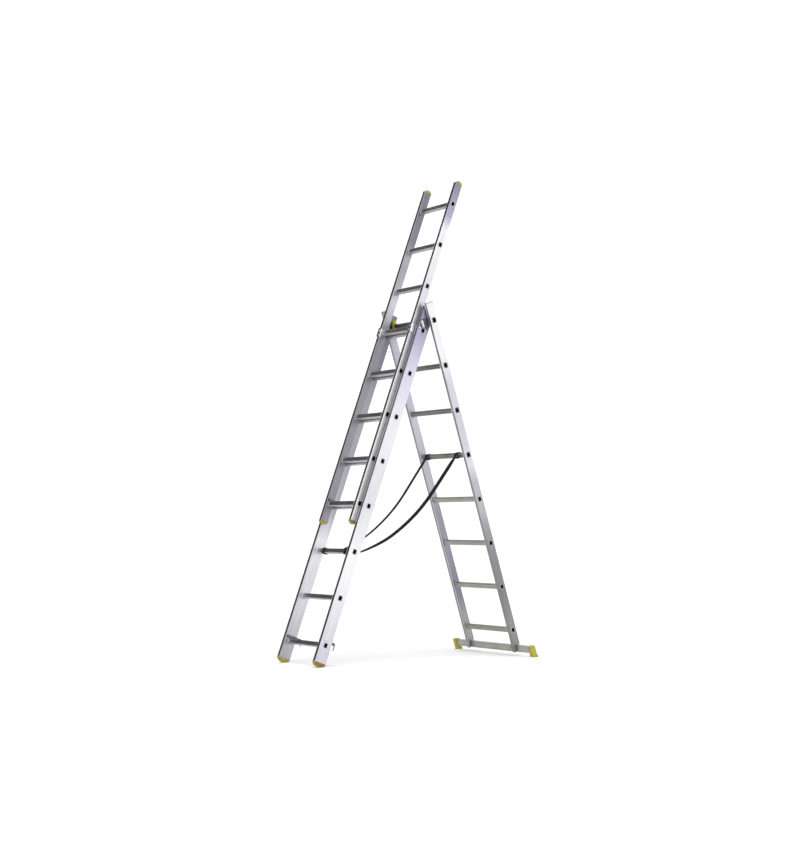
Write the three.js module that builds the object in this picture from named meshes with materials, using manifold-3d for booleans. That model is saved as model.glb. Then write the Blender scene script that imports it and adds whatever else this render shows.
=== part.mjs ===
// A three-section combination ladder, 3 x 8 rungs, standing as a stepladder with its fly section raised.
// Millimetres, +Z up, +X to the right of someone who climbs the front leg, +Y from the front leg to the rear leg.
// Each section is drawn in its own frame: origin on the axis of its lowest rung, z up the stiles, y to the rear.
import * as THREE from 'three';
import { mergeVertices } from 'three/addons/utils/BufferGeometryUtils.js';
import Module from 'manifold-3d';

const wasm = await Module();
wasm.setup();

// ---------- driving dimensions ----------
const GAP = 0.3; // left between pieces that touch
const RUNG_PITCH = 280;
const RUNG_COUNT = 8;
const TOP_RUNG = RUNG_PITCH * (RUNG_COUNT - 1);
const FRONT_LEAN = THREE.MathUtils.degToRad(20.43);
const REAR_LEAN = THREE.MathUtils.degToRad(17.85);
const FLY_RAISED = 3 * RUNG_PITCH;
const FLY_FORWARD = 42.8; // fly rung axes in front of the base rung axes

const STILE = { thick: 25, wall: 2.2 };
const RUNG = { depth: 25, height: 30, bevel: 5, wall: 2, rim: 1.2, rimLip: 2 };

// width over the stiles, depth of a stile, its ends measured from the lowest rung's axis
const BASE = { width: 410, depth: 77, bottom: -100, top: TOP_RUNG + 146 };
const FLY = { width: 342, depth: 50, bottom: -106, top: TOP_RUNG + 135 };
const REAR = { width: 476, depth: 50, bottom: -137, top: TOP_RUNG + 106.5 };

// the fold's axis, seen from the top rung of the base and of the rear section
const HINGE = { aboveBase: 33.3, belowRear: 17.2, aheadOfRear: 55, pin: 6 };

const FOOT = { arc: 48.5, centre: -78.5, facet: THREE.MathUtils.degToRad(10) };
const FLY_FOOT = { arc: 30, centre: -97 };
const FLY_CAP = { arc: 30, centre: TOP_RUNG + 125 };
const SHOE_LIP = 1; // a shoe or cap stands this far outside its stile
const THIN_CAP = 3.5;
const PLUG = 25; // how far a shoe or cap reaches into its stile
const PAST = 9; // cutters run this far past what they cut

const BAR = { height: 40, front: -9, depth: 20, wall: 2.5, centre: -119, half: 388 };
const SHOE = {
  inner: 355, outer: 392, wall: 3.5, top: -94, bevel: 3,
  toeReach: 6, toeHeight: 10, toeCut: 2.5, toeDrop: 53, heelFlare: 1, heelDrop: 45,
};
const HOOK = { thick: 3.4, clear: 0.6, corner: 8 };
const GUIDE = { low: -31, high: 19, back: -17, thick: 3, clear: 0.6, aheadOfFly: 0.8, lip: 8 };
const ARM = { low: -30, high: 24, front: -80, back: 22, flange: 22, thick: 3, clear: 0.6 };
const PLATE_THICK = 3;
const SADDLE = { inner: 156, outer: 176, wall: 3, lug: 38, lugHalf: 11, chamfer: 4 };
// where the base stile makes room for the rear section's top rung
const NOTCH = { shelf: TOP_RUNG + 106, front: 8, radius: 38 };
const STRAP = { width: 25, thick: 2 };

// ---------- materials ----------
const metal = (color, roughness) => new THREE.MeshStandardMaterial({ color, roughness, metalness: 1 });
const plastic = (color, roughness) => new THREE.MeshStandardMaterial({ color, roughness, metalness: 0 });
const MATERIAL = {
  aluminium: () => metal(0xd4d3da, 0.38),
  rung: () => metal(0x8c8b92, 0.42),
  steel: () => metal(0x6f7880, 0.3),
  chrome: () => metal(0xe4e6ea, 0.12),
  olive: () => plastic(0x9c8f34, 0.55),
  grey: () => plastic(0x6d6d70, 0.55),
  yellow: () => plastic(0xc9bd2e, 0.6),
  webbing: () => plastic(0x0c0c0d, 0.9),
};

// ---------- solids ----------
function toSolid(geometry) {
  const bare = geometry.index ? geometry.clone() : geometry;
  bare.deleteAttribute('normal');
  bare.deleteAttribute('uv');
  const merged = mergeVertices(bare, 1e-4);
  return new wasm.Manifold(new wasm.Mesh({
    numProp: 3,
    vertProperties: new Float32Array(merged.attributes.position.array),
    triVerts: new Uint32Array(merged.index.array),
  }));
}

function toGeometry(solid) {
  const { vertProperties, triVerts } = solid.getMesh();
  const geometry = new THREE.BufferGeometry();
  geometry.setAttribute('position', new THREE.BufferAttribute(vertProperties, 3));
  geometry.setIndex(new THREE.BufferAttribute(triVerts, 1));
  geometry.computeVertexNormals();
  return geometry;
}

// A block between two corners.
function block(x0, x1, y0, y1, z0, z1) {
  const geometry = new THREE.BoxGeometry(x1 - x0, y1 - y0, z1 - z0);
  return toSolid(geometry.translate((x0 + x1) / 2, (y0 + y1) / 2, (z0 + z1) / 2));
}

// An outline of [y, z] points, pushed along X from x0 to x1.
function sidePlate(points, x0, x1) {
  const shape = new THREE.Shape(points.map(([y, z]) => new THREE.Vector2(y, z)));
  const geometry = new THREE.ExtrudeGeometry(shape, { depth: x1 - x0, bevelEnabled: false });
  // the outline's x, y and depth become Y, Z and X
  geometry.applyMatrix4(new THREE.Matrix4().set(0, 0, 1, x0, 1, 0, 0, 0, 0, 1, 0, 0, 0, 0, 0, 1));
  return toSolid(geometry);
}

// An outline of [x, y] points, pushed along Z from z0 to z1.
function planPlate(points, z0, z1) {
  const shape = new THREE.Shape(points.map(([x, y]) => new THREE.Vector2(x, y)));
  const geometry = new THREE.ExtrudeGeometry(shape, { depth: z1 - z0, bevelEnabled: false });
  return toSolid(geometry.translate(0, 0, z0));
}

// The rung's outline grown by a margin, centred on height z, with bevelled corners.
function rungOutline(margin = 0, z = 0, bevel = RUNG.bevel) {
  const y = RUNG.depth / 2 + margin;
  const h = RUNG.height / 2 + margin;
  const a = y - bevel;
  const b = h - bevel;
  return [
    [y, -b], [y, b], [a, h], [-a, h], [-y, b], [-y, -b], [-a, -h], [a, -h],
  ].map(([across, up]) => [across, up + z]);
}

// Points of an arc about [y, z]; the angle runs from +y towards +z.
function arc(y, z, radius, from, to, steps) {
  return Array.from({ length: steps + 1 }, (_, i) => {
    const angle = from + ((to - from) * i) / steps;
    return [y + radius * Math.cos(angle), z + radius * Math.sin(angle)];
  });
}

// A round bar or hole along X.
const crossBar = (radius, x0, x1, y, z) => sidePlate(arc(y, z, radius, 0, Math.PI * 2, 16).slice(0, 16), x0, x1);

const SIDES = [['left', -1], ['right', 1]];

// Parts are drawn for the right-hand side (+X) and mirrored for the left.
function forSide(solid, side) {
  return side > 0 ? solid : solid.mirror([1, 0, 0]);
}

function piece(group, name, solid, material) {
  const mesh = new THREE.Mesh(toGeometry(solid), material());
  mesh.name = name;
  group.add(mesh);
}

// ---------- rungs and stiles ----------
function rung(width) {
  const outer = width / 2 + GAP;
  let solid = sidePlate(rungOutline(), -outer - RUNG.rim, outer + RUNG.rim);
  for (const [, side] of SIDES) {
    const rim = sidePlate(rungOutline(RUNG.rimLip), outer, outer + RUNG.rim);
    solid = solid.add(forSide(rim, side));
  }
  const bore = sidePlate(rungOutline(-RUNG.wall, 0, RUNG.bevel - 1), -outer - PAST, outer + PAST);
  return solid.subtract(bore);
}

// A box tube, open at both ends, with a hole through both webs at each rung.
function stile({ width, depth, bottom, top }) {
  const x1 = width / 2;
  const x0 = x1 - STILE.thick;
  const y = depth / 2;
  const w = STILE.wall;
  let solid = block(x0, x1, -y, y, bottom, top);
  solid = solid.subtract(block(x0 + w, x1 - w, -y + w, y - w, bottom - PAST, top + PAST));
  for (let i = 0; i < RUNG_COUNT; i++) {
    const hole = rungOutline(GAP, i * RUNG_PITCH);
    solid = solid.subtract(sidePlate(hole, x0 - PAST, x1 + PAST));
  }
  return solid;
}

// The plug of a shoe or cap, inside the stile's tube.
function plug({ width, depth }, z0, z1) {
  const inset = STILE.wall + GAP;
  const x1 = width / 2 - inset;
  const y = depth / 2 - inset;
  return block(x1 - STILE.thick + 2 * inset, x1, -y, y, z0, z1);
}

// A shoe whose sole is an arc, one facet of which lies flat on the ground when the stile leans.
function archedShoe(section, { arc: radius, centre }, lean) {
  const half = section.depth / 2 + SHOE_LIP;
  const reach = Math.asin(half / radius);
  const angles = [-reach];
  for (let a = lean - FOOT.facet * 7.5; a < reach; a += FOOT.facet) {
    if (a > -reach) angles.push(a);
  }
  angles.push(reach);
  const points = angles.map((a) => [radius * Math.sin(a), centre - radius * Math.cos(a)]);
  const top = section.bottom - GAP;
  points.push([half, top], [-half, top]);
  const x1 = section.width / 2 + SHOE_LIP;
  const sole = sidePlate(points, x1 - STILE.thick - 2 * SHOE_LIP, x1);
  return sole.add(plug(section, top - 5, top + PLUG));
}

// A cap with an arched top.
function archedCap(section, { arc: radius, centre }) {
  const half = section.depth / 2 + SHOE_LIP;
  const reach = Math.asin(half / radius);
  const points = arc(0, centre, radius, Math.PI / 2 - reach, Math.PI / 2 + reach, 10);
  const bottom = section.top + GAP;
  points.push([-half, bottom], [half, bottom]);
  const x1 = section.width / 2 + SHOE_LIP;
  const crown = sidePlate(points, x1 - STILE.thick - 2 * SHOE_LIP, x1);
  return crown.add(plug(section, bottom - PLUG, bottom + 5));
}

function thinCap(section) {
  const half = section.depth / 2 + SHOE_LIP;
  const x1 = section.width / 2 + SHOE_LIP;
  const bottom = section.top + GAP;
  const lid = block(x1 - STILE.thick - 2 * SHOE_LIP, x1, -half, half, bottom, bottom + THIN_CAP);
  return lid.add(plug(section, bottom - PLUG, bottom + 1));
}

// A plate on the inner face of a stile, with a hook that drops behind a rung of the section behind it.
function hook(section, { front, inside, back, under, over, tip }) {
  const x1 = section.width / 2 - STILE.thick - HOOK.clear;
  const shoulder = [[back, over - HOOK.corner], [back - HOOK.corner, over]];
  return sidePlate([
    [front, under], [inside, under], [inside, tip], [back, tip], ...shoulder, [front, over],
  ], x1 - HOOK.thick, x1);
}

// ---------- base section: the front leg ----------
const hingeZ = TOP_RUNG + HINGE.aboveBase;
const baseOuter = BASE.width / 2;

function baseStile() {
  let solid = stile(BASE);
  // a notch at the rear lets the rear section's top rung swing in above the fold's axis
  const back = BASE.depth / 2 + PAST;
  const { shelf, front, radius } = NOTCH;
  const notch = [[back, shelf], [front, shelf], [front, hingeZ + radius]];
  notch.push(...arc(0, hingeZ, radius, Math.PI / 2 - 0.22, 0.16, 6));
  notch.push([back, hingeZ + HINGE.pin]);
  solid = solid.subtract(sidePlate(notch, 0, baseOuter + PAST));
  return solid.subtract(crossBar(HINGE.pin + GAP, baseOuter - STILE.wall - 3, baseOuter + PAST, 0, hingeZ));
}

function guideBracket() {
  // wraps the fly's stile: fixed inside the base stile, round the fly's front face, and back behind its lip
  const { low, high, back, thick: t, clear, aheadOfFly, lip } = GUIDE;
  const outer = baseOuter - STILE.thick - clear;
  const inner = FLY.width / 2 - STILE.thick - clear;
  const front = -FLY_FORWARD - FLY.depth / 2 - aheadOfFly;
  return planPlate([
    [outer, back], [outer - t, back], [outer - t, front], [inner, front], [inner, front + lip],
    [inner - t, front + lip], [inner - t, front - t], [outer, front - t],
  ], TOP_RUNG + low, TOP_RUNG + high);
}

function hingePlate() {
  const x0 = baseOuter + GAP;
  const low = TOP_RUNG + RUNG.height / 2 + RUNG.rimLip + 1.5;
  const front = -BASE.depth / 2 + 3;
  const reach = NOTCH.radius - 7;
  const knuckle = arc(0, hingeZ, reach, 0, Math.PI / 2, 6);
  const outline = [[front, low], [reach, low], ...knuckle, [front, hingeZ + reach]];
  const hole = crossBar(HINGE.pin + GAP, x0 - PAST, x0 + PAST, 0, hingeZ);
  return sidePlate(outline, x0, x0 + PLATE_THICK).subtract(hole);
}

const PIN = { tail: 6, head: 4.5 }; // lengths of its thicker ends

function hingePin() {
  const r = HINGE.pin;
  const tailEnd = baseOuter - STILE.wall - GAP;
  const headStart = REAR.width / 2 - STILE.thick + 0.4;
  const bar = crossBar(r, tailEnd - PIN.tail, headStart + PIN.head, 0, hingeZ);
  const tail = crossBar(r + 3, tailEnd - PIN.tail, tailEnd, 0, hingeZ);
  const head = crossBar(r + 4, headStart, headStart + PIN.head, 0, hingeZ);
  return bar.add(tail).add(head);
}

const BASE_HOOK = { front: -30, inside: 71.5, back: 76.5, under: 17, over: 33.5, tip: -9 };

function baseSection() {
  const group = new THREE.Group();
  for (const [name, side] of SIDES) {
    piece(group, `base_stile_${name}`, forSide(baseStile(), side), MATERIAL.aluminium);
    piece(group, `base_foot_${name}`, forSide(archedShoe(BASE, FOOT, FRONT_LEAN), side), MATERIAL.olive);
    piece(group, `base_top_cap_${name}`, forSide(thinCap(BASE), side), MATERIAL.grey);
    piece(group, `base_hook_${name}`, forSide(hook(BASE, BASE_HOOK), side), MATERIAL.steel);
    piece(group, `guide_bracket_${name}`, forSide(guideBracket(), side), MATERIAL.chrome);
    piece(group, `base_hinge_plate_${name}`, forSide(hingePlate(), side), MATERIAL.steel);
    piece(group, `hinge_pin_${name}`, forSide(hingePin(), side), MATERIAL.steel);
  }
  addRungs(group, 'base', BASE);
  return group;
}

function addRungs(group, section, { width }) {
  for (let i = 0; i < RUNG_COUNT; i++) {
    const solid = rung(width).translate([0, 0, i * RUNG_PITCH]);
    piece(group, `${section}_rung_${i + 1}`, solid, MATERIAL.rung);
  }
}

// ---------- fly section: slides up in front of the base ----------
const FLY_HOOK = { front: -20, inside: 59, back: 64, under: 15.4, over: 30, tip: -12 };

function flySection() {
  const group = new THREE.Group();
  for (const [name, side] of SIDES) {
    piece(group, `fly_stile_${name}`, forSide(stile(FLY), side), MATERIAL.aluminium);
    piece(group, `fly_foot_${name}`, forSide(archedShoe(FLY, FLY_FOOT, FRONT_LEAN), side), MATERIAL.olive);
    piece(group, `fly_top_cap_${name}`, forSide(archedCap(FLY, FLY_CAP), side), MATERIAL.olive);
    piece(group, `fly_hook_${name}`, forSide(hook(FLY, FLY_HOOK), side), MATERIAL.steel);
  }
  addRungs(group, 'fly', FLY);
  return group;
}

// ---------- rear section: the rear leg, with the stabiliser ----------
const rearInner = REAR.width / 2 - STILE.thick;

function rearStile() {
  // the bar is let into the rear of the stile; the front runs down ahead of it, tapering
  const back = REAR.depth / 2 + PAST;
  const seat = BAR.centre + BAR.height / 2 + GAP;
  const below = REAR.bottom - PAST;
  const cut = [[BAR.front - GAP, seat], [back, seat], [back, below], [-REAR.depth / 3, below]];
  return stile(REAR).subtract(sidePlate(cut, 0, REAR.width));
}

function hingeArm() {
  // a steel plate on the stile's inner face that reaches forward over the base stile to the fold's pin
  const x1 = rearInner - ARM.clear;
  const x0 = x1 - ARM.thick;
  const low = TOP_RUNG + ARM.low;
  const high = TOP_RUNG + ARM.high;
  const web = block(x0, x1, ARM.front, ARM.back, low, high);
  const flange = block(x0, x0 + ARM.flange, ARM.front, ARM.front + ARM.thick, low, high);
  const rungHole = sidePlate(rungOutline(GAP, TOP_RUNG), x0 - PAST, x1 + PAST);
  const pinZ = TOP_RUNG - HINGE.belowRear;
  const pinHole = crossBar(HINGE.pin + GAP, x0 - PAST, x1 + PAST, -HINGE.aheadOfRear, pinZ);
  return web.add(flange).subtract(rungHole).subtract(pinHole);
}

function rungSaddle() {
  // a plastic bearing round the top rung beside the base stile, with a lug above it
  const { inner, outer, wall, lug, lugHalf, chamfer: c } = SADDLE;
  const half = RUNG.height / 2 + wall;
  const deep = RUNG.depth / 2 + wall;
  const body = sidePlate([
    [deep - c, -half], [deep, -half + c], [deep, half - c], [lugHalf, half],
    [lugHalf, lug - c], [lugHalf - c, lug], [-lugHalf + c, lug], [-lugHalf, lug - c],
    [-lugHalf, half], [-deep, half - c], [-deep, -half + c], [-deep + c, -half],
  ], inner, outer);
  const hole = sidePlate(rungOutline(GAP), inner - PAST, outer + PAST);
  return body.subtract(hole).translate([0, 0, TOP_RUNG]);
}

function stabiliserBar() {
  const { half, front, depth, wall } = BAR;
  const low = BAR.centre - BAR.height / 2;
  const high = BAR.centre + BAR.height / 2;
  const back = front + depth;
  const tube = block(-half, half, front, back, low, high);
  return tube.subtract(block(-half - PAST, half + PAST, front + wall, back - wall, low + wall, high - wall));
}

// The sole is level, so it slopes in the rear section's frame.
function stabiliserFoot(groundZ) {
  const sole = (y) => (groundZ - y * Math.sin(REAR_LEAN)) / Math.cos(REAR_LEAN);
  const { inner, outer, wall, top, bevel } = SHOE;
  const barBack = BAR.front + BAR.depth;
  const front = BAR.front - wall - GAP;
  const back = barBack + wall + GAP;
  const heel = front - SHOE.heelFlare;
  const toe = back + SHOE.toeReach;
  const shoe = sidePlate([
    [heel, sole(heel)], [toe - SHOE.toeCut, sole(toe - SHOE.toeCut)], [toe, sole(toe) + SHOE.toeCut],
    [toe, sole(toe) + SHOE.toeHeight], [back, top - SHOE.toeDrop],
    [back, top - bevel], [back - bevel, top], [front + bevel, top], [front, top - bevel],
    [front, top - SHOE.heelDrop],
  ], inner, outer);
  const barLow = BAR.centre - BAR.height / 2;
  const barHigh = BAR.centre + BAR.height / 2;
  const pocket = block(0, BAR.half + GAP, BAR.front - GAP, barBack + GAP, barLow - GAP, barHigh + GAP);
  return shoe.subtract(pocket);
}

function rearSection(groundZ) {
  const group = new THREE.Group();
  for (const [name, side] of SIDES) {
    piece(group, `rear_stile_${name}`, forSide(rearStile(), side), MATERIAL.aluminium);
    piece(group, `rear_top_cap_${name}`, forSide(thinCap(REAR), side), MATERIAL.olive);
    piece(group, `rear_hinge_arm_${name}`, forSide(hingeArm(), side), MATERIAL.steel);
    piece(group, `rung_saddle_${name}`, forSide(rungSaddle(), side), MATERIAL.yellow);
    piece(group, `stabiliser_foot_${name}`, forSide(stabiliserFoot(groundZ), side), MATERIAL.yellow);
  }
  piece(group, 'stabiliser_bar', stabiliserBar(), MATERIAL.aluminium);
  addRungs(group, 'rear', REAR);
  return group;
}

// ---------- straps that stop the legs spreading ----------
// Each strap sags from rear rung 5 down to base rung 3. The route is [part of the way along, y, z] from the
// lowest base rung's axis; x runs evenly from the base end to the rear end.
const STRAP_ROUTE = [
  [0, 214, 518.5], [0.06, 250, 515], [0.13, 300, 525], [0.21, 364, 547], [0.29, 428, 573], [0.37, 492, 605],
  [0.45, 560, 648], [0.54, 628, 698], [0.63, 694, 754], [0.71, 756, 816], [0.79, 814, 884], [0.87, 868, 952],
  [0.93, 920, 1018], [0.97, 954, 1062], [1, 976, 1090],
];
const STRAP_ENDS = { right: [126, 135], left: [-104, -165] };

function strap([baseX, rearX]) {
  const points = STRAP_ROUTE.map(([t, y, z]) => new THREE.Vector3(baseX + (rearX - baseX) * t, y, z));
  const w = STRAP.width / 2;
  const h = STRAP.thick / 2;
  const corners = [[w, -h], [w, h], [-w, h], [-w, -h]];
  const section = new THREE.Shape(corners.map(([x, y]) => new THREE.Vector2(x, y)));
  const extrudePath = new THREE.CatmullRomCurve3(points);
  return toSolid(new THREE.ExtrudeGeometry(section, { steps: 28, bevelEnabled: false, extrudePath }));
}

function straps() {
  const group = new THREE.Group();
  for (const [name, ends] of Object.entries(STRAP_ENDS)) {
    piece(group, `strap_${name}`, strap(ends), MATERIAL.webbing);
  }
  return group;
}

// ---------- the ladder ----------
const ladder = new THREE.Group();

const base = baseSection();
base.rotation.x = -FRONT_LEAN;
ladder.add(base);

const fly = flySection();
fly.rotation.x = -FRONT_LEAN;
fly.position.copy(new THREE.Vector3(0, -FLY_FORWARD, FLY_RAISED).applyEuler(fly.rotation));
ladder.add(fly);

// the rear section hangs from the fold's axis
const hingePoint = new THREE.Vector3(0, 0, hingeZ).applyEuler(base.rotation);
const rearRotation = new THREE.Euler(REAR_LEAN, 0, 0);
const hingeInRear = new THREE.Vector3(0, -HINGE.aheadOfRear, TOP_RUNG - HINGE.belowRear);
const rearPosition = hingePoint.clone().sub(hingeInRear.applyEuler(rearRotation));
const soleRadius = FOOT.arc * Math.cos(FOOT.facet / 2);
const ground = FOOT.centre * Math.cos(FRONT_LEAN) - soleRadius;
const rear = rearSection(ground - rearPosition.z);
rear.rotation.copy(rearRotation);
rear.position.copy(rearPosition);
ladder.add(rear);

ladder.add(straps());

// the origin is at the middle of the ladder's box, on the ground
ladder.updateMatrixWorld(true);
const box = new THREE.Box3().setFromObject(ladder, true);
const middle = box.getCenter(new THREE.Vector3());
ladder.position.set(-middle.x, -middle.y, -box.min.z);

export default ladder;
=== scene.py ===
"""The finished look of a three-section aluminium combination ladder, standing as a stepladder.

Every piece is drawn in millimetres in the frame of its own section: origin on the axis of the lowest rung,
z up the stiles, y to the rear, x across. Right-hand pieces are mirrored for the left.
"""
import math

import bmesh
import bpy
from mathutils import Matrix, Vector
from mathutils.geometry import tessellate_polygon


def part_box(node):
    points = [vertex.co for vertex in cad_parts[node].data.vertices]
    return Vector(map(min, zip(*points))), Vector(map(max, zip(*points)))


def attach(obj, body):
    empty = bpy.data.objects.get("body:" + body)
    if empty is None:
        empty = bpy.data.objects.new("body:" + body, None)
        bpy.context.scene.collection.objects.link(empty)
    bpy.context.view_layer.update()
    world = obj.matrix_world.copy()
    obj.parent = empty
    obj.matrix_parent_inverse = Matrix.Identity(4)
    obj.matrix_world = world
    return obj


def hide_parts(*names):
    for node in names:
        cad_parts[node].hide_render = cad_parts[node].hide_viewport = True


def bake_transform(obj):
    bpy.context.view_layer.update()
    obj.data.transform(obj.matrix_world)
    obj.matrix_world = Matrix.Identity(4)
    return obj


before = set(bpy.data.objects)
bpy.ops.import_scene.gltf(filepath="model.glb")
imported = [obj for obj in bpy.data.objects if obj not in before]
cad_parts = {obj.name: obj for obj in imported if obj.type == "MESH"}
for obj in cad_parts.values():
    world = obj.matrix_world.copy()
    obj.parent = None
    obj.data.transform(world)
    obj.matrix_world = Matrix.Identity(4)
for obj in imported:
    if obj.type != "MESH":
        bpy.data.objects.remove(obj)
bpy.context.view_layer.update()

MM = 0.001
SIDES = (("left", -1), ("right", 1))
ACROSS = Vector((1, 0, 0))
RUNG_COUNT = 8


def new_object(name, data):
    obj = bpy.data.objects.new(name, data)
    bpy.context.scene.collection.objects.link(obj)
    return obj


# ---------- the camera ----------
def make_camera():
    """Looks slightly up at the ladder from its front right, from far away."""
    azimuth, elevation = math.radians(54.45), math.radians(-3.65)
    place = (7.5347, -5.3932, 0.8126)
    level = math.cos(elevation)
    back = Vector((math.sin(azimuth) * level, -math.cos(azimuth) * level, math.sin(elevation)))
    data = bpy.data.cameras.new("camera")
    data.sensor_width = 36
    data.lens = 64.95
    data.clip_start, data.clip_end = 0.1, 200
    camera = new_object("camera", data)
    camera.location = place
    camera.rotation_mode = "QUATERNION"
    camera.rotation_quaternion = (-back).to_track_quat("-Z", "Y")
    bpy.context.scene.camera = camera


make_camera()


# ---------- the three sections, as the CAD places them ----------
class Section:
    """One ladder section, named as its body: its frame, and the sizes of its stiles in millimetres."""

    def __init__(self, name):
        self.name = name
        first, last = (self.middle(f"{name}_rung_{i}") for i in (1, RUNG_COUNT))
        up = (last - first).normalized()
        self.matrix = Matrix(((1, 0, 0), (0, up.z, -up.y), up)).transposed().to_4x4()
        self.matrix.translation = first
        self.inverse = self.matrix.inverted()
        self.pitch = (last - first).length / MM / (RUNG_COUNT - 1)
        self.top_rung = self.pitch * (RUNG_COUNT - 1)
        low, high = self.box(f"{name}_stile_right")
        self.inner, self.outer = low.x, high.x
        self.half = high.y
        self.bottom, self.top = low.z, high.z

    @staticmethod
    def middle(node):
        low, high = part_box(node)
        return (low + high) / 2

    def box(self, node):
        """The lowest and highest corner of a CAD node in this section's frame, in millimetres."""
        points = [self.inverse @ v.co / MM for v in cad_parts[node].data.vertices]
        return (Vector(min(p[i] for p in points) for i in range(3)),
                Vector(max(p[i] for p in points) for i in range(3)))


BASE = Section("base")
FLY = Section("fly")
REAR = Section("rear")


# ---------- outlines ----------
def rectangle(x0, y0, x1, y1):
    return [(x0, y0), (x1, y0), (x1, y1), (x0, y1)]


def bend(before, corner, after, radius, steps=3):
    """Points of a smooth bend at a corner; it starts and ends a radius away from it."""
    start = corner + (before - corner).normalized() * radius
    end = corner + (after - corner).normalized() * radius
    shares = [k / steps for k in range(steps + 1)]
    return [start * (1 - t) ** 2 + corner * 2 * t * (1 - t) + end * t ** 2 for t in shares]


def rounded(points, radius, steps=3):
    """The closed outline with its corners rounded; a point may carry its own radius as a third number."""
    out = []
    for i, point in enumerate(points):
        before, corner, after = (Vector(points[k % len(points)][:2]) for k in (i - 1, i, i + 1))
        own_radius = point[2] if len(point) > 2 else radius
        out += [tuple(p) for p in bend(before, corner, after, own_radius, steps)]
    return out


def offset(points, distance):
    """The closed outline moved outwards by distance (inwards if negative); it runs anticlockwise."""
    out = []
    for i, point in enumerate(points):
        p = Vector(point)
        a = (p - Vector(points[i - 1])).normalized()
        b = (Vector(points[(i + 1) % len(points)]) - p).normalized()
        normal = (Vector((a.y, -a.x)) + Vector((b.y, -b.x))).normalized()
        scale = max(0.5, normal.dot(Vector((a.y, -a.x))))
        q = p + normal * distance / scale
        out.append((q.x, q.y))
    return out


def strip(line, thick, radius, steps=4):
    """The outline of bent sheet metal: an open line of points, thick millimetres thick, with round bends."""
    line = [Vector(point) for point in line]
    middle = line[:1]
    for before, corner, after in zip(line, line[1:], line[2:]):
        middle += bend(before, corner, after, radius, steps)
    middle.append(line[-1])
    left, right = [], []
    for i, p in enumerate(middle):
        along = (middle[min(i + 1, len(middle) - 1)] - middle[max(i - 1, 0)]).normalized()
        normal = Vector((-along.y, along.x)) * thick / 2
        left.append(tuple(p + normal))
        right.append(tuple(p - normal))
    return left + right[::-1]


def arc(y, z, radius, start, end, steps):
    """Points of an arc; the angles are in degrees, from +y towards +z."""
    angles = [math.radians(start + (end - start) * k / steps) for k in range(steps + 1)]
    return [(y + radius * math.cos(a), z + radius * math.sin(a)) for a in angles]


def hull(points):
    """The convex outline round points, anticlockwise."""
    points = sorted(set(points))

    def half(ordered):
        chain = []
        for p in ordered:
            while len(chain) > 1 and turn(chain[-2], chain[-1], p) <= 0:
                chain.pop()
            chain.append(p)
        return chain[:-1]

    def turn(o, a, b):
        return (a[0] - o[0]) * (b[1] - o[1]) - (a[1] - o[1]) * (b[0] - o[0])

    return half(points) + half(points[::-1])


# shared sizes, in millimetres
HINGE = BASE.top_rung + 33.3  # the fold's axis, up the base section
HINGE_AHEAD, HINGE_BELOW = 55, 17.2  # the fold's axis, from the rear section's top rung
HINGE_HOLE = 6.3
SWEEP = 38  # the rear section's top rung passes just outside this radius round the fold's axis
RUNG_DEEP = 12.5  # half the rung's depth, front to rear
RUNG_TALL = 15
RUNG_BEVEL = 5
WALL = 2.2
GAP = 0.3  # between pieces that touch
PAST = 9  # cutters run this far past what they cut


def rung_outline(margin=0.0, z=0.0, steps=3):
    """The rung's outline grown by a margin, centred on height z, in the side view."""
    y, h = RUNG_DEEP + margin, RUNG_TALL + margin
    return [(a, b + z) for a, b in rounded(((y, -h), (y, h), (-y, h), (-y, -h)), RUNG_BEVEL, steps)]


# ---------- solids ----------
def side_axis(a, b, depth):
    """Outlines drawn in the side view, pushed across the ladder."""
    return depth, a, b


def plan_axis(a, b, depth):
    """Outlines drawn in plan, pushed up the stile."""
    return a, b, depth


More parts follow.
